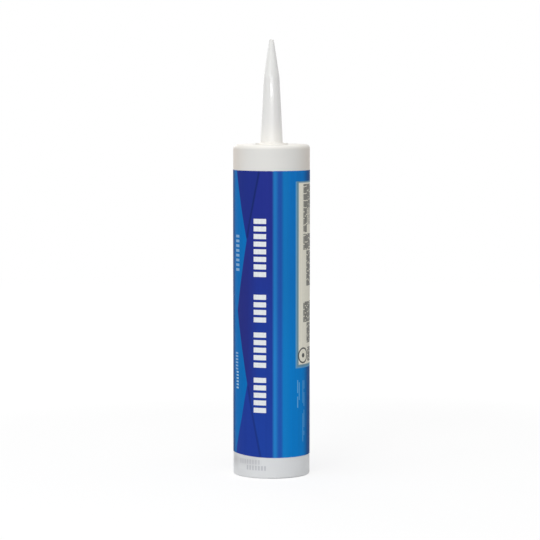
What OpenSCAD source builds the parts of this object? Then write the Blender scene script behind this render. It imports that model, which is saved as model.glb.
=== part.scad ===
// Caulk cartridge for a standard sealant gun, upright on its open rear rim.
// Barrel, head and nozzle are one moulding. A printed film is wrapped round the barrel.
// A sliding plunger closes the rear end, a foil disc closes the outlet, and the sealant
// lies between them. All sizes are in millimetres.
// The origin is the centre of the rear rim, and +Z runs up the axis to the nozzle tip.

/* [Barrel] */
// Outer diameter of the barrel
barrel_d = 50; // [44:0.5:60]
// Length from the rear rim to the flat of the head
barrel_len = 216; // [160:1:260]
// Thickness of the barrel wall
wall = 1.6; // [1.5:0.1:2.4]
// Thickness of the flat head
head_t = 2.2; // [1.2:0.1:4]
// Outer radius where the barrel turns into the head
shoulder_r = 2.5; // [1.5:0.1:5]
// Inner radius where the bore turns into the head
inner_corner_r = 1.2; // [0.4:0.1:2]
// Rounding on the outside of the rear rim
rim_r = 0.8; // [0.3:0.1:0.9]
// Width of the lead-in chamfer inside the rear rim
lead_in_w = 0.3; // [0.1:0.05:0.5]
// Height of the lead-in chamfer inside the rear rim
lead_in_h = 1.4; // [0.5:0.1:3]

/* [Nozzle] */
// Height of the nozzle above the head
nozzle_len = 68; // [60:1:95]
// Outer radius of the nozzle where it leaves the collar
nozzle_base_r = 7.4; // [6.4:0.05:9]
// Height of the knee, where the slow taper ends and the tip begins
knee_h = 43.5; // [30:0.5:50]
// Outer radius of the nozzle at its knee
knee_r = 5.2; // [4:0.05:6]
// Rounding of the closed tip
tip_round = 1; // [0.5:0.05:1.2]
// Radius of the small flat on the end of the tip
tip_flat_r = 0.55; // [0.2:0.05:0.8]
// Length of the solid end that is cut off to open the nozzle
tip_solid = 4.5; // [3:0.1:8]
// Wall thickness of the nozzle
nozzle_wall = 1.2; // [0.9:0.05:1.6]
// Radius of the low collar round the foot of the nozzle
collar_r = 10.7; // [10.2:0.1:14]
// Height of the low collar above the head
collar_h = 0.7; // [0.4:0.1:2]
// Rounding on the edge of the collar
collar_round = 0.35; // [0.1:0.05:0.35]
// Radius of the fillet between the nozzle and its collar
foot_fillet = 1; // [0.4:0.1:1.1]

/* [Label] */
// Thickness of the printed film
film_t = 0.1; // [0.05:0.01:0.3]
// Height of the bare band under the film
label_from = 13.5; // [2:0.5:30]
// Height of the bare band between the film and the flat of the head
label_top_gap = 16.4; // [6:0.1:30]
// Width of the lap where the end of the film lies on its start
lap_w = 9; // [4:0.5:20]
// Direction of the lap seen from above, with 90 at the back
lap_at = 90; // [0:5:355]

/* [Plunger] */
// Height of the plunger's rear edge above the rear rim in a full cartridge
plunger_from = 18; // [8:0.5:30]
// Length of the plunger from its rear edge to its front face
plunger_len = 20; // [17:0.5:28]
// Radial running clearance between the wiping lips and the bore
lip_fit = 0.06; // [0.02:0.01:0.1]
// Distance that the skirt between the lips stands back from them
lip_relief = 0.45; // [0.3:0.05:0.7]
// Radius of the rounded flanks of each lip
lip_round = 0.9; // [0.75:0.05:1.2]
// Length of the straight land on each lip
lip_land = 1.2; // [0.6:0.1:1.6]
// Height of the rear lip's middle above the rear edge
rear_lip_at = 2.2; // [2.1:0.1:3]
// Depth of the front lip's middle below the front face
front_lip_at = 4.6; // [4.2:0.1:6]
// Radius of the plunger's front edge
nose_r = 2; // [1.6:0.1:2.6]
// Thickness of the plunger's skirt
skirt_t = 1.4; // [1:0.1:2]
// Thickness of the plunger's face
face_t = 1.5; // [1:0.1:2.5]
// Radius at the outer edge of the dish in the face
dish_r = 13; // [11:0.5:16]
// Radius of the flat floor of the dish
dish_floor_r = 9.5; // [9.2:0.1:10.5]
// Depth of the dish, which makes room for the outlet seal
dish_depth = 1.4; // [0.8:0.1:2]

/* [Plunger ribs] */
// Number of ribs inside the plunger
rib_count = 6; // [4:1:10]
// Thickness of each rib
rib_t = 1.1; // [0.8:0.1:1.6]
// Height of the ribs' lower edges above the rear edge
rib_from = 8.5; // [6:0.5:10]
// Radius of the boss that joins the ribs
boss_r = 3.2; // [2.6:0.1:5]
// Distance that the boss stands down past the ribs
boss_drop = 0.8; // [0.3:0.1:2]
// Rounding on the lower edge of the boss
boss_round = 0.6; // [0.2:0.1:1]

/* [Outlet seal and sealant] */
// Radius of the foil disc over the outlet
seal_r = 9; // [8.2:0.1:9]
// Thickness of the foil disc
seal_t = 0.15; // [0.08:0.01:0.4]
// Gap left between the sealant and what encloses it
charge_gap = 0.2; // [0.1:0.05:0.35]

/* [Hidden] */
$fn = 96;

// Amount by which a cutter passes the face that it opens
eps = 1;
// Straight steps in each small arc of the nozzle's outline
arc_steps = 8;

barrel_r = barrel_d / 2;
bore_r = barrel_r - wall;
// Underside of the head, and of the foil disc that is bonded to it
head_inner_z = barrel_len - head_t;
seal_z = head_inner_z - seal_t;

// Nozzle heights, measured up the axis from the rear rim
foot_z = barrel_len + collar_h;
knee_z = barrel_len + knee_h;
nozzle_top_z = barrel_len + nozzle_len;
tip_centre_z = nozzle_top_z - tip_round;
bore_top_z = nozzle_top_z - tip_solid;

// Half angle of the nozzle's lower stage, and the middle of the fillet that touches its foot
foot_angle = atan((nozzle_base_r - knee_r) / (knee_z - foot_z));
foot_centre_x = nozzle_base_r + foot_fillet * (1 / cos(foot_angle) - tan(foot_angle));

// Half angle of the nozzle's upper stage, whose side touches the round tip
tip_drop = [knee_r - tip_flat_r, tip_centre_z - knee_z];
tip_angle = atan(tip_drop[0] / tip_drop[1]) - asin(tip_round / norm(tip_drop));

// Label and plunger
label_h = barrel_len - label_top_gap - label_from;
lap_angle = lap_w / (barrel_r + film_t) * 180 / PI;
lip_r = bore_r - lip_fit;
skirt_r = lip_r - lip_relief;
cup_r = skirt_r - skirt_t;
cup_roof = plunger_len - face_t;
rib_top = cup_roof - dish_depth + face_t / 4;
front_z = plunger_from + plunger_len;

// Outer radius of the nozzle's upper stage at a height above the knee
function tip_stage_r(z) = knee_r - (z - knee_z) * tan(tip_angle);

// Points along an arc round a centre, from one angle to another
function arc(centre, r, from, to, steps) = [
    for (i = [0 : steps])
        let (a = from + (to - from) * i / steps)
            centre + r * [cos(a), sin(a)]
];

// Half profile of a disc with a rounded upper edge
module round_top(r, h, corner) {
    square([r, h - corner]);
    square([r - corner, h]);
    translate([r - corner, h - corner]) circle(corner);
}

// Half profile of the barrel and head before they are hollowed
module barrel_outside() {
    translate([0, rim_r]) round_top(barrel_r, barrel_len - rim_r, shoulder_r);
    square([barrel_r - rim_r, barrel_len / 2]);
    translate([barrel_r - rim_r, rim_r]) circle(rim_r);
}

// Half profile of the bore, with the lead-in chamfer at its mouth
module barrel_bore() {
    round_top(bore_r, head_inner_z, inner_corner_r);
    translate([0, -eps]) square([bore_r + lead_in_w, eps]);
    polygon([
        [0, 0],
        [bore_r + lead_in_w, 0],
        [bore_r, lead_in_h],
        [0, lead_in_h]
    ]);
}

// Half profile of the nozzle's outside: foot fillet, slow taper, knee, fast taper, round tip
module nozzle_outside() {
    root_z = barrel_len - head_t / 2;
    polygon(concat(
        [[0, root_z], [foot_centre_x, root_z]],
        arc([foot_centre_x, foot_z + foot_fillet], foot_fillet, 270, 180 + foot_angle, arc_steps),
        [[knee_r, knee_z]],
        arc([tip_flat_r, tip_centre_z], tip_round, tip_angle, 90, arc_steps),
        [[0, nozzle_top_z]]
    ));
    translate([0, root_z]) round_top(collar_r, foot_z - root_z, collar_round);
}

// Half profile of the passage through the head and up the nozzle
module nozzle_bore() {
    polygon([
        [0, head_inner_z - eps],
        [nozzle_base_r - nozzle_wall, head_inner_z - eps],
        [nozzle_base_r - nozzle_wall, foot_z],
        [knee_r - nozzle_wall, knee_z],
        [tip_stage_r(bore_top_z) - nozzle_wall, bore_top_z],
        [0, bore_top_z]
    ]);
}

module cartridge() {
    color([0.88, 0.88, 0.86])
        rotate_extrude()
            difference() {
                union() {
                    barrel_outside();
                    nozzle_outside();
                }
                barrel_bore();
                nozzle_bore();
            }
}

// The film goes once round the barrel and is two layers thick where its end laps its start
module label() {
    color([0.08, 0.4, 0.72])
        difference() {
            rotate_extrude()
                translate([barrel_r, label_from]) square([2 * film_t, label_h]);
            rotate([0, 0, lap_at + lap_angle / 2])
                rotate_extrude(angle = 360 - lap_angle)
                    translate([barrel_r + film_t, label_from - eps])
                        square([2 * film_t, label_h + 2 * eps]);
        }
}

// Half profile of one wiping lip, with its middle at height z
module lip(z) {
    translate([lip_r - lip_round, z - lip_land / 2]) {
        circle(lip_round);
        square([lip_round, lip_land]);
        translate([0, lip_land]) circle(lip_round);
    }
}

// Half profile of the dish, with its rim at height z
module dish(z) {
    polygon([
        [0, z - dish_depth],
        [dish_floor_r, z - dish_depth],
        [dish_r, z],
        [0, z]
    ]);
}

// Half profile of the plunger's shell: rounded nose, two lips, dished face, open cup
module plunger_shell() {
    difference() {
        union() {
            round_top(skirt_r, plunger_len, nose_r);
            lip(rear_lip_at);
            lip(plunger_len - front_lip_at);
        }
        difference() {
            round_top(cup_r, cup_roof, nose_r / 2);
            dish(cup_roof);
        }
        translate([0, -eps]) square([cup_r, eps]);
        dish(plunger_len);
    }
}

// One rib from the boss to the skirt, let into the face above it
module plunger_rib() {
    rotate([90, 0, 0])
        linear_extrude(height = rib_t, center = true)
            polygon([
                [boss_r / 2, rib_from],
                [cup_r + skirt_t / 2, rib_from],
                [cup_r + skirt_t / 2, cup_roof + face_t / 4],
                [dish_r, cup_roof + face_t / 4],
                [dish_floor_r, rib_top],
                [boss_r / 2, rib_top]
            ]);
}

// Boss on the axis, which joins the ribs to each other
module plunger_boss() {
    translate([0, 0, rib_top])
        rotate([180, 0, 0])
            rotate_extrude()
                round_top(boss_r, rib_top - rib_from + boss_drop, boss_round);
}

module plunger() {
    color([0.8, 0.81, 0.8])
        translate([0, 0, plunger_from]) {
            rotate_extrude() plunger_shell();
            plunger_boss();
            for (i = [0 : rib_count - 1])
                rotate([0, 0, i * 360 / rib_count]) plunger_rib();
        }
}

module inner_seal() {
    color([0.75, 0.75, 0.77])
        translate([0, 0, seal_z]) cylinder(h = seal_t, r = seal_r);
}

// The sealant fills the bore from the plunger's dished face to the foil disc
module sealant() {
    charge_r = bore_r - charge_gap;
    charge_from = front_z + charge_gap;
    color([0.62, 0.62, 0.6])
        rotate_extrude() {
            translate([0, charge_from])
                round_top(charge_r, seal_z - charge_gap - charge_from, inner_corner_r);
            dish(charge_from);
        }
}

cartridge();
label();
plunger();
inner_seal();
sealant();
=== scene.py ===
"""Looks of a sealant cartridge: white moulding, printed film, plunger and paste, on a pale floor."""

import math

import bpy
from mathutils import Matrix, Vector


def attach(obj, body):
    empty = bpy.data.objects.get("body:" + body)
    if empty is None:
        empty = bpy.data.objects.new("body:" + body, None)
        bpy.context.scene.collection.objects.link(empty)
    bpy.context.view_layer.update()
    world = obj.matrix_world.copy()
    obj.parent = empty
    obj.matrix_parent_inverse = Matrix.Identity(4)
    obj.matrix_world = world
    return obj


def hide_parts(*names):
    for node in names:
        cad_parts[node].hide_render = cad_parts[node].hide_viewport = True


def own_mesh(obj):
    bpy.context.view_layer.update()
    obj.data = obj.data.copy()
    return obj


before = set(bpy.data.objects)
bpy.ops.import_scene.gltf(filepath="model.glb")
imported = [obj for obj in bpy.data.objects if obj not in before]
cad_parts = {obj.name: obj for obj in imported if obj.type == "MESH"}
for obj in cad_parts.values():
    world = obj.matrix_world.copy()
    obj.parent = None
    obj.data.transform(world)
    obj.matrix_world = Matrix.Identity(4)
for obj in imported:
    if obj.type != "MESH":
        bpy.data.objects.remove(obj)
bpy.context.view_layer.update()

MM = 0.001

# Sizes that the solids already have, in millimetres
BARREL_R = 25.0
FILM_T = 0.1
FILM_R = BARREL_R + FILM_T
BARREL_LEN = 216.0
FILM_FROM = 13.5
FILM_TO = 199.6
LAP_W = 9.0
CHARGE_R = 23.2
CHARGE_FROM = 38.2
CHARGE_TO = 213.45
CHARGE_CORNER = 1.2
DISH_FLOOR_R = 9.5
DISH_R = 13.0
DISH_DEPTH = 1.4

# Brightness of a white card that stands upright in this studio, on the side of the camera
LEVEL = 0.84
# Light that the film's gloss adds to every colour on it
GLOSS = 0.002
# Half width of the soft edge between two printed colours, in millimetres
EDGE = 0.09


def linear(channel):
    """A channel of an sRGB colour, 0 to 255, as linear light."""
    share = channel / 255
    return share / 12.92 if share <= 0.04045 else ((share + 0.055) / 1.055) ** 2.4


def ink(red, green, blue):
    """The film's colour that shows as this sRGB colour in the studio's light."""
    return tuple(max(linear(c) - GLOSS, 0.0) / LEVEL for c in (red, green, blue)) + (1.0,)


class Wire:
    """A number that comes out of a node, with sums on it that add more nodes."""

    def __init__(self, tree, socket):
        self.tree = tree
        self.socket = socket

    def __add__(self, other):
        return self.tree.math("ADD", self, other)

    def __sub__(self, other):
        return self.tree.math("SUBTRACT", self, other)

    def __rsub__(self, other):
        return self.tree.math("SUBTRACT", other, self)

    def __mul__(self, other):
        return self.tree.math("MULTIPLY", self, other)

    def __truediv__(self, other):
        return self.tree.math("DIVIDE", self, other)

    __radd__ = __add__
    __rmul__ = __mul__


class Tree:
    """The nodes of one material. Its methods add nodes and return what comes out of them."""

    def __init__(self, name):
        self.material = bpy.data.materials.new(name)
        self.material.use_nodes = True
        self.nodes = self.material.node_tree.nodes
        self.links = self.material.node_tree.links
        self.shader = self.nodes["Principled BSDF"]

    def feed(self, socket, value):
        if isinstance(value, Wire):
            self.links.new(value.socket, socket)
        else:
            socket.default_value = value

    def set(self, **values):
        """Sets the main shader's sockets, named with _ for a space."""
        for name, value in values.items():
            self.feed(self.shader.inputs[name.replace("_", " ")], value)

    def math(self, operation, *values):
        node = self.nodes.new("ShaderNodeMath")
        node.operation = operation
        for socket, value in zip(node.inputs, values):
            self.feed(socket, value)
        return Wire(self, node.outputs[0])

    def ramp(self, value, low, high, start=0.0, end=1.0):
        """Goes smoothly from start at low to end at high, and is level outside them."""
        node = self.nodes.new("ShaderNodeMapRange")
        node.interpolation_type = "SMOOTHSTEP"
        for socket, item in zip(node.inputs, (value, low, high, start, end)):
            self.feed(socket, item)
        return Wire(self, node.outputs[0])

    def band(self, value, low, high, soft=EDGE):
        """1 between low and high, and 0 outside them."""
        return self.ramp(value, low - soft, low + soft) - self.ramp(value, high - soft, high + soft)

    def patch(self, across, up, left, right, bottom, top, soft=EDGE):
        """1 in a rectangle of the print."""
        return self.band(across, left, right, soft) * self.band(up, bottom, top, soft)

    def pulses(self, value, pitch, share, soft=EDGE):
        """1 round each multiple of pitch, over this share of it and with soft ends, and 0 between."""
        reach = share * pitch / 2
        return self.ramp(self.math("PINGPONG", value, pitch / 2), reach - soft, reach + soft, 1.0, 0.0)

    def chance(self, first, second):
        """A number from 0 to 1 that is fixed for each pair of whole numbers."""
        cell = self.nodes.new("ShaderNodeCombineXYZ")
        self.feed(cell.inputs[0], self.math("FLOOR", first))
        self.feed(cell.inputs[1], self.math("FLOOR", second))
        node = self.nodes.new("ShaderNodeTexWhiteNoise")
        node.noise_dimensions = "2D"
        self.links.new(cell.outputs[0], node.inputs["Vector"])
        return Wire(self, node.outputs["Value"])

    def curve(self, value, low, high, points):
        """A line of straight stretches through points of (value, result), all between low and high."""
        node = self.nodes.new("ShaderNodeFloatCurve")
        line = node.mapping.curves[0]
        span = high - low
        results = [result for _, result in points]
        base, top = min(results), max(results)
        while len(line.points) < len(points):
            line.points.new(0.5, 0.5)
        for point, (at, result) in zip(line.points, sorted(points)):
            point.location = ((at - low) / span, (result - base) / (top - base))
            point.handle_type = "VECTOR"
        node.mapping.update()
        self.feed(node.inputs["Value"], (value - low) / span)
        return Wire(self, node.outputs[0]) * (top - base) + base

    def noise(self, size, detail=2.0, stretch=(1.0, 1.0, 1.0), roughness=0.5):
        """Noise with features of about this size in millimetres, longer along an axis by stretch."""
        place = self.nodes.new("ShaderNodeMapping")
        place.inputs["Scale"].default_value = [1 / (size * MM * s) for s in stretch]
        self.links.new(self.place(), place.inputs["Vector"])
        node = self.nodes.new("ShaderNodeTexNoise")
        node.inputs["Scale"].default_value = 1.0
        node.inputs["Detail"].default_value = detail
        node.inputs["Roughness"].default_value = roughness
        self.links.new(place.outputs[0], node.inputs["Vector"])
        return Wire(self, node.outputs["Fac"])

    def place(self):
        """The point's place on the object at rest."""
        node = self.nodes.new("ShaderNodeTexCoord")
        return node.outputs["Object"]

    def polar(self):
        """Angle from -Y towards +X in degrees, distance from the axis and height in millimetres."""
        split = self.nodes.new("ShaderNodeSeparateXYZ")
        self.links.new(self.place(), split.inputs[0])
        x, y, z = (Wire(self, socket) for socket in split.outputs)
        angle = self.math("ARCTAN2", x, y * -1.0) * (180 / math.pi)
        distance = self.math("SQRT", x * x + y * y) * (1 / MM)
        return angle, distance, z * (1 / MM)

    def mix(self, factor, first, second):
        """A colour between two, at factor of the way."""
        node = self.nodes.new("ShaderNodeMix")
        node.data_type = "RGBA"
        self.feed(node.inputs[0], factor)
        self.feed(node.inputs[6], first)
        self.feed(node.inputs[7], second)
        return Wire(self, node.outputs[2])

    def bump(self, height, distance, under=None):
        """Relief on the surface, where 1 in height is distance millimetres."""
        node = self.nodes.new("ShaderNodeBump")
        node.inputs["Distance"].default_value = distance * MM
        self.feed(node.inputs["Height"], height)
        if under is not None:
            self.feed(node.inputs["Normal"], under)
        return Wire(self, node.outputs[0])


# White moulding

# Heights over which one colour gives way to the next, in millimetres
REAR_TO_HEAD = (20, 195)
HEAD_TO_CROWN = (212.5, 215.5)
CROWN_TO_NOZZLE = (216.5, 219)
# The nozzle's lighter foot is painted bounce light from the head's top, fading out over these heights
NOZZLE_FOOT_BOUNCE = (218, 234)
NOZZLE_TOP = (256, 272)
# Heights over which the finish changes
GRAIN_FADES = (217, 230)
SMOOTHER_FROM = (216.6, 218.6)
LESS_GLOSS_FROM = (217, 219)
LEAST_GLOSS_FROM = (260, 270)
# The bright streak on the nozzle: bottom, top and how soft its ends are
STREAK_SMOOTH = (246, 257, 8)
STREAK_GLOSS = (244, 258, 8)
# Angles from the front over which the sides of the head and crown grow darker and warm, a painted shade
# at the edges seen from the front, and less so again at the back
WARM_SHADE_FROM = (30, 85)
WARM_SHADE_FADES = (88, 140)
# Faint rows of upright dashes on the rear band: left, right, bottom, top, strength
STAMPED_ROWS = ((-24.4, -6.8, 9.0, 12.1, 0.24), (-18.0, -3.6, 5.3, 8.3, 0.36))
STAMPED_PITCH = 2.1
STAMPED_SHARE = 0.60
# A darker grey patch round them, and painted shade on the rear band's left side: left, right, bottom,
# top, softness
GREY_PATCH = (-34, -9, 8.6, 13.0, 3.0)
SIDE_SHADE = (-37, -27, 6.0, 14.0, 3.5)
# A faint grey mark on the collar: distances from the axis, angles and heights that it covers,
# each with how soft its ends are
MARK_REACH = (9.4, 12.6, 0.5)
MARK_ANGLES = (-128, -52, 14)
MARK_HEIGHTS = (215.9, 216.85, 0.05)
# Depths under the barrel's surface between which the print on it ends
SKIN = (0.6, 0.3)
# How soft the dashes' edges are
STAMPED_SOFT = 0.3
# Greys of the darker patch and the painted shade, the scuffs, the mark and the dashes
PATCH_AND_SHADE_GREY = (0.34, 0.33, 0.34, 1)
SCUFF_GREY = (0.42, 0.42, 0.40, 1)
MARK_GREY = (0.42, 0.42, 0.41, 1)
STAMPED_GREY = (0.28, 0.28, 0.34, 1)


def white_plastic():
    """Satin polyethylene, a little translucent, with flow marks, scuffs and faint stamped dashes, and
    painted shade and bounce light in its colour.
    """
    tree = Tree("white_moulding")
    angle, distance, up = tree.polar()
    cloud = tree.noise(26, detail=3)
    streak = tree.noise(2.2, detail=3, stretch=(1, 1, 14))
    grain = tree.noise(0.35, detail=2) * tree.ramp(up, *GRAIN_FADES, 1.0, 0.25)

    foot = tree.mix(cloud, (0.838, 0.852, 0.862, 1), (0.870, 0.884, 0.894, 1))
    head = tree.mix(cloud, (0.842, 0.836, 0.806, 1), (0.876, 0.870, 0.840, 1))
    side = tree.math("ABSOLUTE", angle)
    # Painted shade: the sides of the head are darker and warmer towards the edges seen from the front
    warm = tree.ramp(side, *WARM_SHADE_FROM) * tree.ramp(side, *WARM_SHADE_FADES, 1.0, 0.3)
    head = tree.mix(warm, head, (0.82, 0.745, 0.665, 1))
    body = tree.mix(tree.ramp(up, *REAR_TO_HEAD), foot, head)
    # The crown's sides take the same painted shade
    crown = tree.mix(warm, (0.935, 0.908, 0.858, 1), (0.865, 0.825, 0.765, 1))
    shoulder = tree.mix(tree.ramp(up, *HEAD_TO_CROWN), body, crown)
    # The nozzle's foot colour is lighter: painted bounce light from the head's top
    at_foot, at_middle = (0.94, 0.93, 0.895, 1), (0.885, 0.883, 0.868, 1)
    nozzle = tree.mix(tree.ramp(up, *NOZZLE_FOOT_BOUNCE), at_foot, at_middle)
    nozzle = tree.mix(tree.ramp(up, *NOZZLE_TOP), nozzle, (0.91, 0.912, 0.892, 1))
    colour = tree.mix(tree.ramp(up, *CROWN_TO_NOZZLE), shoulder, nozzle)
    scuff = tree.ramp(streak, 0.60, 0.74) * tree.ramp(cloud, 0.45, 0.62) * 0.05
    colour = tree.mix(scuff, colour, SCUFF_GREY)

    # A faint grey mark on the left of the low collar round the nozzle's foot
    mark = tree.band(distance, *MARK_REACH) * tree.band(angle, *MARK_ANGLES)
    mark = mark * tree.band(up, *MARK_HEIGHTS)
    colour = tree.mix(mark * 0.34, colour, MARK_GREY)

    # Faint upright dashes on the left of the rear band, a darker grey patch round them, and painted
    # shade on the band's left side
    across = angle * (math.pi / 180 * BARREL_R)
    deep, shallow = SKIN
    outside = tree.ramp(distance, BARREL_R - deep, BARREL_R - shallow)
    for left, right, bottom, top, strength in STAMPED_ROWS:
        row = tree.patch(across, up, left, right, bottom, top, STAMPED_SOFT)
        dash = tree.pulses(across, STAMPED_PITCH, STAMPED_SHARE, STAMPED_SOFT)
        colour = tree.mix(row * dash * outside * strength, colour, STAMPED_GREY)
    # A darker grey patch round the dashes, broken up by the cloud noise
    grey_patch = tree.patch(across, up, *GREY_PATCH) * tree.ramp(cloud, 0.2, 0.6, 0.6, 1.0)
    colour = tree.mix(grey_patch * outside * 0.26, colour, PATCH_AND_SHADE_GREY)
    # Painted shade: the left side of the rear band is darker
    painted_side_shade = tree.patch(across, up, *SIDE_SHADE)
    colour = tree.mix(painted_side_shade * outside * 0.24, colour, PATCH_AND_SHADE_GREY)

    ripple = tree.bump(tree.noise(7, detail=1, stretch=(1, 1, 5)), 0.05)
    normal = tree.bump(grain, 0.006, under=ripple)
    # The nozzle is smoother, most of all below its knee, where it shows a bright streak
    nozzle_only = tree.ramp(up, *SMOOTHER_FROM)
    rough = tree.ramp(streak, 0.3, 0.7, 0.36, 0.44) - nozzle_only * 0.17
    rough = rough * (1.0 - tree.band(up, *STREAK_SMOOTH) * 0.6)
    tree.set(Base_Color=colour, Roughness=rough, Normal=normal)
    gloss = 0.5 + tree.band(up, *STREAK_GLOSS) * 0.13
    gloss = gloss - tree.ramp(up, *LESS_GLOSS_FROM) * 0.1 - tree.ramp(up, *LEAST_GLOSS_FROM) * 0.2
    tree.set(Specular_IOR_Level=gloss, Sheen_Weight=nozzle_only * 0.7, Sheen_Roughness=0.5)
    tree.set(Subsurface_Weight=0.15, Subsurface_Scale=0.002)
    tree.shader.inputs["Subsurface Radius"].default_value = (1.0, 0.97, 0.92)
    return tree.material


# Printed film

# Height of each corner of the pale field's edge, and its place across the film
ZIGZAG = (
    (0.0, -32.0),
    (18.0, -28.4),
    (38.4, -22.2),
    (61.2, -17.0),
    (108.6, -26.7),
    (154.8, -17.4),
    (170.2, -21.1),
    (200.0, -27.8),
    (216.0, -31.5),
)
# A crease's left and right side, from its diagonal, and how soft they are
CREASE = (-0.55, 0.75, 0.5)
# Diagonals that meet the edge's corners, from the top of the film and from its foot
TOP_DIAGONAL = ((154.8, -17.4), (166.5, -15.1), (198.9, -8.2), (216.0, -4.5))
LOW_DIAGONAL = ((0.0, -4.2), (14.2, -7.3), (40.7, -12.9), (61.2, -17.0))
# A place across the film that is well beyond the visible part of a line
FAR_LEFT = -60.0
# Where the dark panel, the two stripes and the next field end, across the film
PANEL_TO = 1.05
PALE_STRIPE_TO = 3.65
VIOLET_STRIPE_TO = 7.25
FIELD_CHANGE = 11.7
# Where the deep field of the back begins and is full, on the left and on the right. It starts at the
# sides seen from the front, where it paints the shade at the film's edges
DEEP_FIELD_AND_SHADE_LEFT = (-29.0, -33.5)
DEEP_FIELD_AND_SHADE_RIGHT = (23.0, 32.0)
# Heights over which the fields on the right fade from their lower colour to their upper one
FIELDS_FADE = (66, 134)
# Heights over which the dark panel's blue changes, near its foot and above that
PANEL_FOOT = (14, 62)
PANEL_FADES = (60, 178)
# Where the panel's purple gives way to its blue, across the film
PURPLE_TO = (-19, -7)
# Heights of the panel's purple middle, and how soft its ends are
PURPLE_MIDDLE = (52, 154, 8)
# How soft the zigzag's edge is on each side
ZIGZAG_SOFT = 0.3


def film_fields(tree, across, up):
    """The large fields of blue, from the pale zigzag on the left to the plain blue on the right."""
    edge = tree.curve(up, 0, BARREL_LEN, ZIGZAG)
    below = ((0.0, FAR_LEFT), (154.7, FAR_LEFT))
    above = ((61.3, FAR_LEFT), (216.0, FAR_LEFT))
    top_line = tree.curve(up, 0, BARREL_LEN, below + TOP_DIAGONAL)
    low_line = tree.curve(up, 0, BARREL_LEN, LOW_DIAGONAL + above)

    pale = ink(18, 113, 188)
    main = tree.mix(tree.ramp(up, *PANEL_FADES), ink(36, 64, 156), ink(40, 51, 140))
    main = tree.mix(tree.ramp(up, *PANEL_FOOT), ink(35, 68, 161), main)
    purple = tree.mix(tree.ramp(across, *PURPLE_TO), ink(43, 50, 130), main)
    panel = tree.mix(tree.band(up, *PURPLE_MIDDLE), main, purple)

    top_facet = tree.math("LESS_THAN", across, top_line)
    panel = tree.mix(top_facet, panel, ink(38, 51, 134))
    low_facet = tree.math("LESS_THAN", across, low_line)
    panel = tree.mix(low_facet, panel, ink(37, 63, 155))
    # A dark crease lies along each diagonal, from one height to another and at its own strength
    for line, low, high, depth in ((top_line, 156, 199, 0.78), (low_line, 14, 60, 0.5)):
        crease = tree.band(across - line, *CREASE) * tree.band(up, low, high, 1.0)
        panel = tree.mix(crease * depth, panel, ink(28, 42, 100))

    colour = tree.mix(tree.ramp(across - edge, -ZIGZAG_SOFT, ZIGZAG_SOFT), pale, panel)
    # Each field's start, half the width of its soft start, and its colour at the top and at the foot
    steps = (
        (PANEL_TO, 1.0, ink(38, 121, 193), ink(41, 130, 204)),
        (PALE_STRIPE_TO, 1.4, ink(36, 87, 171), ink(37, 92, 180)),
        (VIOLET_STRIPE_TO, 1.2, ink(26, 121, 193), ink(24, 131, 206)),
        (FIELD_CHANGE, 2.0, ink(23, 118, 197), ink(18, 128, 208)),
    )
    fade = tree.ramp(up, *FIELDS_FADE)
    for start, soft, at_top, at_foot in steps:
        field = tree.mix(fade, at_foot, at_top)
        colour = tree.mix(tree.ramp(across, start - soft, start + soft), colour, field)
    # The deep field over the back, whose start at each side is painted shade at the film's edges
    for start, full in (DEEP_FIELD_AND_SHADE_LEFT, DEEP_FIELD_AND_SHADE_RIGHT):
        colour = tree.mix(tree.ramp(across, start, full), colour, ink(10, 72, 134))
    return colour


def info_box(tree, across, up, colour):
    """A warm white box with rows of grey marks in it and a plain ring with a dot."""
    left, right, bottom, top = 16.9, 52.0, 71.4, 193.4
    # The pale edge, the grey line and the field: insets at sides, foot and top, softness, colour
    frames = (
        (0.0, 0.0, 0.9, 0.3, ink(104, 162, 204)),
        (1.0, 0.8, 0.9, 0.3, ink(110, 150, 170)),
        (2.6, 2.2, 1.8, 0.5, ink(236, 233, 218)),
    )
    for at_sides, at_foot, at_top, soft, tone in frames:
        frame_left, frame_right = left + at_sides, right - at_sides
        frame_bottom, frame_top = bottom + at_foot, top - at_top
        area = tree.patch(across, up, frame_left, frame_right, frame_bottom, frame_top, soft)
        colour = tree.mix(area, colour, tone)

    # Each block of marks: left, right, bottom, top, distance between rows, strength
    blocks = (
        (24.2, 49.2, 175.0, 190.6, 1.55, 0.95),
        (24.2, 28.8, 159.4, 175.0, 1.55, 0.95),
        (28.8, 49.2, 164.0, 175.0, 1.55, 0.50),
        (24.2, 49.2, 148.0, 158.4, 1.55, 0.95),
        (28.2, 49.2, 124.4, 147.4, 1.55, 1.00),
        (24.2, 49.2, 101.0, 114.2, 1.75, 0.95),
        (28.6, 49.2, 87.2, 100.4, 1.55, 1.00),
        (29.9, 49.2, 75.0, 84.4, 1.55, 0.95),
    )
    # Each row is a line with short gaps. Its chance moves them and sets how far apart they are
    line_share, gap_share = 0.74, 0.12
    furthest_shift, least_spacing, more_spacing = 40.0, 3.6, 3.0
    for block_left, block_right, block_bottom, block_top, pitch, strength in blocks:
        luck = tree.chance((across - block_left) / pitch, block_bottom)
        spacing = luck * more_spacing + least_spacing
        gap = tree.pulses((up + luck * furthest_shift) / spacing, 1.0, gap_share, 0.03)
        marks = tree.pulses(across - block_left - pitch / 2, pitch, line_share) * (1.0 - gap)
        area = tree.patch(across, up, block_left, block_right, block_bottom, block_top)
        colour = tree.mix(marks * area * strength, colour, ink(50, 52, 54))

    # The ring: its centre, its inner and outer radius, and where its dot ends
    centre_across, centre_up = 24.1, 79.4
    ring_inner, ring_outer = 4.2, 5.2
    dot_full, dot_end = 1.3, 1.6
    ring_across = across - centre_across
    ring_up = up - centre_up
    radius = tree.math("SQRT", ring_across * ring_across + ring_up * ring_up)
    ring = tree.band(radius, ring_inner, ring_outer)
    dot = tree.ramp(radius, dot_full, dot_end, 1.0, 0.0)
    colour = tree.mix(tree.math("MAXIMUM", ring, dot) * 0.9, colour, ink(56, 60, 62))
    return colour


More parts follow.
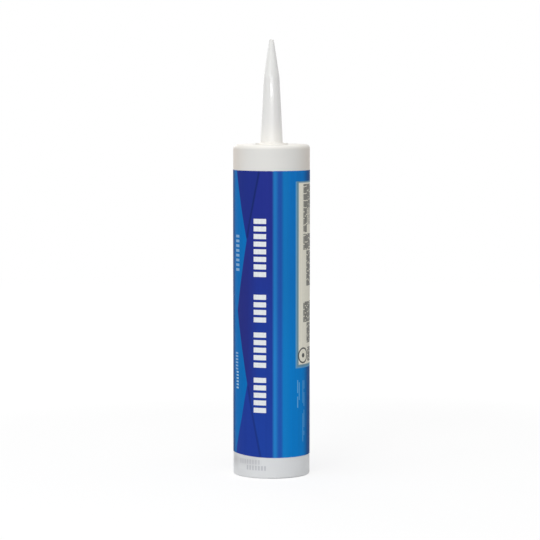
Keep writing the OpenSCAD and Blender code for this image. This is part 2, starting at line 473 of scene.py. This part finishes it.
def plain_marks(tree, across, up, colour):
    """A ladder of white blocks, small pale bars and thin dashed lines."""
    # A ladder of white blocks down the dark panel, in four groups
    ladder_from = 43.0
    ladder_left, ladder_right = -12.0, -3.5
    pitch = 4.9
    rung_share = 0.66
    groups = tree.band(up, ladder_from, 66.6)
    for first, last in ((72.4, 96.0), (101.8, 120.5), (131.2, 169.6)):
        groups = groups + tree.band(up, first, last)
    rung = tree.pulses(up - ladder_from - rung_share * pitch / 2, pitch, rung_share)
    ladder = groups * rung * tree.band(across, ladder_left, ladder_right)
    colour = tree.mix(ladder, colour, ink(232, 236, 238))

    # Small bars on the pale field: left, right, bottom, top, pitch along the film, strength
    bar_share = 0.55
    bars = (
        (-28.9, -24.6, 133.6, 158.4, 3.1, 0.50),
        (-28.4, -25.6, 57.0, 69.3, 2.05, 0.75),
        (-29.6, -26.2, 69.3, 81.6, 2.05, 0.50),
    )
    for left, right, bottom, top, step, strength in bars:
        marks = tree.patch(across, up, left, right, bottom, top)
        marks = marks * tree.pulses(up - bottom - step / 2, step, bar_share)
        colour = tree.mix(marks * strength, colour, ink(186, 220, 236))

    # Thin dashed lines under the box: place across, bottom, top, strength
    half_line, dash_length, gap_chance = 0.38, 2.3, 0.22
    lines = (
        (18.7, 45.6, 63.6, 0.75),
        (20.1, 47.4, 63.6, 0.65),
        (23.8, 22.0, 63.0, 0.50),
        (25.1, 27.0, 63.0, 0.50),
    )
    for at, bottom, top, strength in lines:
        line = tree.patch(across, up, at - half_line, at + half_line, bottom, top, 0.15)
        dash = tree.math("GREATER_THAN", tree.chance(at, up / dash_length), gap_chance)
        colour = tree.mix(line * dash * strength, colour, ink(120, 186, 226))
    return colour


# The film's cut edge at its lap, across the film, and next to it a dark line of painted shadow from the
# lap's step, with its softness
CUT_EDGE = (-74.4, -74.0)
LAP_SHADOW = (-75.4, -74.5, 0.3)
# Width of the rubbed strip along the film's top and foot
RUBBED_STRIP = 0.35


def printed_film():
    """Semi-gloss film in blue fields, with faint ripples, print grain and rubbed edges, and a painted
    shadow next to its lap.
    """
    tree = Tree("printed_film")
    angle, _, up = tree.polar()
    across = angle * (math.pi / 180 * FILM_R)
    colour = film_fields(tree, across, up)
    colour = info_box(tree, across, up, colour)
    colour = plain_marks(tree, across, up, colour)

    # The cut edge is bare, where the film laps its own start, and next to it lies a painted shadow of
    # the lap's step
    grain = tree.noise(0.5, detail=2)
    painted_lap_shadow = tree.band(across, *LAP_SHADOW) * 0.45
    colour = tree.mix(painted_lap_shadow, colour, ink(8, 44, 90))
    cut = tree.band(across, *CUT_EDGE) * tree.ramp(grain, 0.3, 0.6, 0.45, 0.8)
    colour = tree.mix(cut, colour, ink(176, 190, 204))
    colour = tree.mix(tree.ramp(grain, 0.35, 0.65) * 0.05, colour, ink(20, 60, 120))
    streak = tree.noise(0.9, detail=1, stretch=(1, 1, 150))
    colour = tree.mix(tree.ramp(streak, 0.40, 0.62) * 0.05, colour, ink(14, 40, 90))
    rub = tree.noise(1.3, detail=4, roughness=0.7)
    middle = tree.band(up, FILM_FROM + RUBBED_STRIP, FILM_TO - RUBBED_STRIP, RUBBED_STRIP)
    near_edge = 1.0 - middle
    rubbed = near_edge * tree.ramp(rub, 0.50, 0.66)
    colour = tree.mix(rubbed * 0.5, colour, ink(196, 206, 214))

    ripple = tree.bump(tree.noise(9, detail=2, stretch=(1, 1, 4)), 0.07)
    normal = tree.bump(tree.noise(1.4, detail=2), 0.006, under=ripple)
    tree.set(
        Base_Color=colour,
        Roughness=tree.ramp(rub, 0.3, 0.7, 0.44, 0.54),
        Normal=normal,
        Specular_IOR_Level=0.04,
    )
    return tree.material


# Hidden pieces

def plunger_plastic():
    """Softer natural polyethylene, with turning marks from the mould and a little dust."""
    tree = Tree("plunger_moulding")
    _, distance, up = tree.polar()
    cloud = tree.noise(9, detail=3)
    dust = tree.ramp(tree.noise(0.9, detail=4, roughness=0.7), 0.56, 0.74)
    colour = tree.mix(cloud, (0.62, 0.63, 0.60, 1), (0.69, 0.70, 0.67, 1))
    colour = tree.mix(dust * 0.10, colour, (0.42, 0.41, 0.38, 1))
    turning_pitch = 0.42
    turning = tree.math("SINE", distance * (2 * math.pi / turning_pitch))
    normal = tree.bump(turning, 0.004, under=tree.bump(tree.noise(0.4), 0.01))
    tree.set(Base_Color=colour, Roughness=tree.ramp(cloud, 0.3, 0.7, 0.42, 0.52), Normal=normal)
    tree.set(Subsurface_Weight=0.12, Subsurface_Scale=0.002)
    return tree.material


def rolled_foil():
    """Bright foil with rolling lines and soft dents."""
    tree = Tree("rolled_foil")
    lines = tree.noise(0.25, detail=2, stretch=(1, 40, 1))
    dent = tree.noise(3.5, detail=2)
    colour = tree.mix(lines, (0.66, 0.66, 0.68, 1), (0.78, 0.78, 0.80, 1))
    normal = tree.bump(lines, 0.003, under=tree.bump(dent, 0.08))
    tree.set(Base_Color=colour, Roughness=tree.ramp(lines, 0.3, 0.7, 0.22, 0.34), Normal=normal)
    tree.set(Metallic=1.0)
    return tree.material


def grey_paste():
    """Smooth stiff paste with soft folds and a few specks."""
    tree = Tree("grey_paste")
    fold = tree.noise(5, detail=3, stretch=(1, 1, 2))
    speck = tree.ramp(tree.noise(0.5, detail=1), 0.66, 0.72)
    colour = tree.mix(fold, (0.33, 0.33, 0.31, 1), (0.39, 0.39, 0.37, 1))
    colour = tree.mix(speck * 0.25, colour, (0.22, 0.22, 0.21, 1))
    tree.set(Base_Color=colour, Roughness=0.38, Normal=tree.bump(fold, 0.12))
    return tree.material


# Meshes

# Edges that turn by more than this many degrees stay sharp
SHARP_FROM = 40


def mesh_object(name, vertices, faces, uv=None):
    """An object with smooth faces. Its UV map, where given, has one pair for each face corner."""
    mesh = bpy.data.meshes.new(name)
    mesh.from_pydata([[c * MM for c in v] for v in vertices], [], faces)
    mesh.update()
    if uv is not None:
        layer = mesh.uv_layers.new(name="OFBake")
        layer.data.foreach_set("uv", [c for pair in uv for c in pair])
    piece = bpy.data.objects.new(name, mesh)
    bpy.context.scene.collection.objects.link(piece)
    mesh.shade_smooth()
    mesh.set_sharp_from_angle(angle=math.radians(SHARP_FROM))
    return piece


def film_mesh():
    """The film as one thin sheet that goes round the barrel and laps its own start at the back."""
    # The sheet's thickness, a little less than the solid film's, and its gap to the barrel
    thickness = 0.085
    gap = 0.005
    inner = BARREL_R + gap
    lap = math.degrees(LAP_W / FILM_R)
    start = 90 - lap / 2
    turn = 360 + lap
    columns = 400
    rows = 36
    # Angle over which the sheet climbs on to its own start, and how far its end sits low
    climb = 3.2
    skew = 0.22
    # The foot edge is cut a little high on the left: by how much, where, and over what angle
    high_cut, high_at, high_over = 1.3, -72, 45

    def lift(angle):
        share = min(max((angle - (360 - climb)) / climb, 0.0), 1.0)
        return FILM_T * share * share * (3 - 2 * share)

    # Outer face from the foot up, then the inner face from the top down
    loop = [(inner + thickness, j / rows) for j in range(rows + 1)]
    loop += [(inner, j / rows) for j in range(rows, -1, -1)]
    around = len(loop)
    vertices = []
    for i in range(columns + 1):
        share = i / columns
        angle = math.radians(start + turn * share)
        side = start + turn * share - 270
        hump = high_cut * math.exp(-((side - high_at) / high_over) ** 2)
        low = FILM_FROM + skew * (1 - share) + hump
        high = FILM_TO - skew * share
        for radius, rise in loop:
            r = radius + lift(turn * share)
            vertices.append((r * math.cos(angle), r * math.sin(angle), low + (high - low) * rise))

    # Places on the map. The outer face takes most of it, the inner face a strip below, the top
    # and foot edges a strip each, and the two cut ends a strip each at its sides
    outer_v = [0.04 + 0.955 * j / rows for j in range(rows + 1)]
    inner_v = [0.030 - 0.025 * j / rows for j in range(rows + 1)]
    levels = outer_v + inner_v
    top_edge_v, foot_edge_v = (0.9965, 0.9985), (0.0015, 0.0035)
    start_u, end_u = (0.0005, 0.0020), (0.9980, 0.9995)
    first_u, span_u = 0.003, 0.994
    faces = []
    uv = []
    for i in range(columns):
        left = first_u + span_u * i / columns
        right = first_u + span_u * (i + 1) / columns
        for k in range(around):
            n = (k + 1) % around
            faces.append((i * around + k, (i + 1) * around + k, (i + 1) * around + n, i * around + n))
            if k == rows:
                low_v, high_v = top_edge_v
            elif n == 0:
                low_v, high_v = foot_edge_v
            else:
                low_v, high_v = levels[k], levels[n]
            uv += [(left, low_v), (right, low_v), (right, high_v), (left, high_v)]
    last = columns * around
    for j in range(rows):
        k, m = j, around - 1 - j
        faces.append((k, k + 1, m - 1, m))
        faces.append((last + m, last + m - 1, last + k + 1, last + k))
        low_v, high_v = outer_v[j], outer_v[j + 1]
        for left, right in (start_u, end_u):
            uv += [(left, low_v), (left, high_v), (right, high_v), (right, low_v)]
    return mesh_object("label_film", vertices, faces, uv)


def revolved(name, profile, segments):
    """A closed body turned from a half profile that starts and ends on the axis."""
    inner = profile[1:-1]
    vertices = [(0.0, 0.0, profile[0][1])]
    for i in range(segments):
        angle = 2 * math.pi * i / segments
        vertices += [(r * math.cos(angle), r * math.sin(angle), z) for r, z in inner]
    vertices.append((0.0, 0.0, profile[-1][1]))
    count = len(inner)
    top = len(vertices) - 1
    faces = []
    for i in range(segments):
        a, b = 1 + i * count, 1 + (i + 1) % segments * count
        faces.append((0, b, a))
        for k in range(count - 1):
            faces.append((a + k, b + k, b + k + 1, a + k + 1))
        faces.append((a + count - 1, b + count - 1, top))
    return mesh_object(name, vertices, faces)


def charge_mesh():
    """The paste between plunger and foil, with the plunger's dish pressed into its rear end."""
    steps = 6
    segments = 96
    chamfer = 0.3
    first_ring, ring_pitch, rings = 4, 12, 14
    rear = [
        (0, CHARGE_FROM - DISH_DEPTH),
        (DISH_FLOOR_R, CHARGE_FROM - DISH_DEPTH),
        (DISH_R, CHARGE_FROM),
        (CHARGE_R - chamfer, CHARGE_FROM),
        (CHARGE_R, CHARGE_FROM + chamfer),
    ]
    wall = [(CHARGE_R, CHARGE_FROM + first_ring + ring_pitch * k) for k in range(rings)]
    corner = []
    for k in range(steps + 1):
        angle = math.pi / 2 * k / steps
        corner.append((
            CHARGE_R - CHARGE_CORNER * (1 - math.cos(angle)),
            CHARGE_TO - CHARGE_CORNER * (1 - math.sin(angle)),
        ))
    return revolved("sealant_charge", rear + wall + corner + [(0, CHARGE_TO)], segments)


film = film_mesh()
film.data.materials.append(printed_film())
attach(film, "cartridge")
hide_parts("label")

charge = charge_mesh()
charge.data.materials.append(grey_paste())
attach(charge, "cartridge")
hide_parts("sealant")
# At the end of the plunger's travel a disc of 0.05 mm is left between its face and the foil
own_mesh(charge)

for node, material in (
    ("cartridge", white_plastic()),
    ("plunger", plunger_plastic()),
    ("inner_seal", rolled_foil()),
):
    for material_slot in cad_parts[node].material_slots:
        material_slot.material = material


# Studio

def backdrop_rays(tree):
    """1 for rays that see the background: from the camera, a gloss or a clear material."""
    path = tree.nodes.new("ShaderNodeLightPath")
    rays = [Wire(tree, path.outputs[f"Is {kind} Ray"]) for kind in ("Camera", "Glossy", "Transmission")]
    return tree.math("MAXIMUM", tree.math("MAXIMUM", rays[0], rays[1]), rays[2])


# Distances from the object over which the floor's shadow fades, and over which it grows white
SHADOW_FADES = (400, 1500)
FLOOR_WHITENS = (250, 900)
GLOW_AT_OBJECT = 0.74


def pale_floor():
    """Light grey to the light it throws back, and near white to the eye, with the object's shadow."""
    tree = Tree("pale_floor")
    _, distance, _ = tree.polar()
    out = tree.nodes["Material Output"]
    card = tree.nodes.new("ShaderNodeBsdfDiffuse")
    card.inputs["Color"].default_value = (0.60, 0.60, 0.60, 1)
    seen = tree.nodes.new("ShaderNodeBsdfDiffuse")
    near, far = (0.30, 0.30, 0.30, 1), (0, 0, 0, 1)
    tree.feed(seen.inputs["Color"], tree.mix(tree.ramp(distance, *SHADOW_FADES), near, far))
    glow = tree.nodes.new("ShaderNodeEmission")
    level = tree.ramp(distance, *FLOOR_WHITENS, GLOW_AT_OBJECT, 1.0)
    tree.feed(glow.inputs["Strength"], level)
    both = tree.nodes.new("ShaderNodeAddShader")
    tree.links.new(seen.outputs[0], both.inputs[0])
    tree.links.new(glow.outputs[0], both.inputs[1])
    choice = tree.nodes.new("ShaderNodeMixShader")
    tree.feed(choice.inputs[0], backdrop_rays(tree))
    tree.links.new(card.outputs[0], choice.inputs[1])
    tree.links.new(both.outputs[0], choice.inputs[2])
    tree.links.new(choice.outputs[0], out.inputs["Surface"])
    return tree.material


FLOOR_HALF = 40000.0
corners = ((-1, -1), (1, -1), (1, 1), (-1, 1))
floor = mesh_object(
    "floor",
    [(x * FLOOR_HALF, y * FLOOR_HALF, 0) for x, y in corners],
    [(0, 1, 2, 3)],
)
floor.data.materials.append(pale_floor())

world = bpy.data.worlds.new("studio")
bpy.context.scene.world = world
world.use_nodes = True
backdrop = world.node_tree.nodes["Background"]
backdrop.inputs["Color"].default_value = (1, 1, 1, 1)


class WorldTree(Tree):
    """The nodes of the world, with the same sums as a material's."""

    def __init__(self, target):
        self.nodes = target.node_tree.nodes
        self.links = target.node_tree.links


# Level of the world's light on the object, where the backdrop itself is at 1
AMBIENT = 0.48
world_tree = WorldTree(world)
strength = backdrop_rays(world_tree) * (1 - AMBIENT) + AMBIENT
world_tree.feed(backdrop.inputs["Strength"], strength)


# Point that the lamps face, in metres up the object's axis
AIM = Vector((0, 0, 0.14))


def soft_lamp(name, azimuth, elevation, distance, width, height, level):
    """A lamp that gives a card that faces it this level. Azimuth 0 is the camera's side."""
    lamp = bpy.data.lights.new(name, "AREA")
    lamp.shape = "RECTANGLE"
    lamp.size = width
    lamp.size_y = height
    lamp.energy = level * (math.pi * distance) ** 2
    piece = bpy.data.objects.new(name, lamp)
    bpy.context.scene.collection.objects.link(piece)
    turn, rise = math.radians(azimuth), math.radians(elevation)
    away = Vector((math.sin(turn) * math.cos(rise), -math.cos(turn) * math.cos(rise), math.sin(rise)))
    piece.location = AIM + away * distance
    piece.rotation_mode = "QUATERNION"
    piece.rotation_quaternion = away.to_track_quat("Z", "Y")


# Each lamp: name, azimuth, elevation, distance, width, height, level
LAMPS = (
    ("key", -24, 24, 1.9, 0.6, 0.6, 0.155),
    ("front", 3, 8.8, 1.9, 1.4, 0.12, 0.117),
    ("back", -160, 16, 1.9, 1.2, 0.9, 0.14),
    ("overhead", -30, 72, 1.5, 1.1, 1.1, 0.34),
)
for lamp_values in LAMPS:
    soft_lamp(*lamp_values)

# Camera, fitted to the edges of the object in the photograph: place, angle down and lens
CAMERA_AT = (-0.00098, -1.548, 0.260)
CAMERA_DOWN = 4.66
CAMERA_LENS = 158.33
camera = bpy.data.cameras.new("camera")
camera.sensor_width = 36.0
camera.lens = CAMERA_LENS
camera.clip_start = 0.05
camera.clip_end = 200.0
view = bpy.data.objects.new("camera", camera)
bpy.context.scene.collection.objects.link(view)
view.location = CAMERA_AT
view.rotation_euler = (math.radians(90 - CAMERA_DOWN), 0, 0)
bpy.context.scene.camera = view

bpy.context.scene.view_settings.view_transform = "Standard"

bpy.context.view_layer.update()
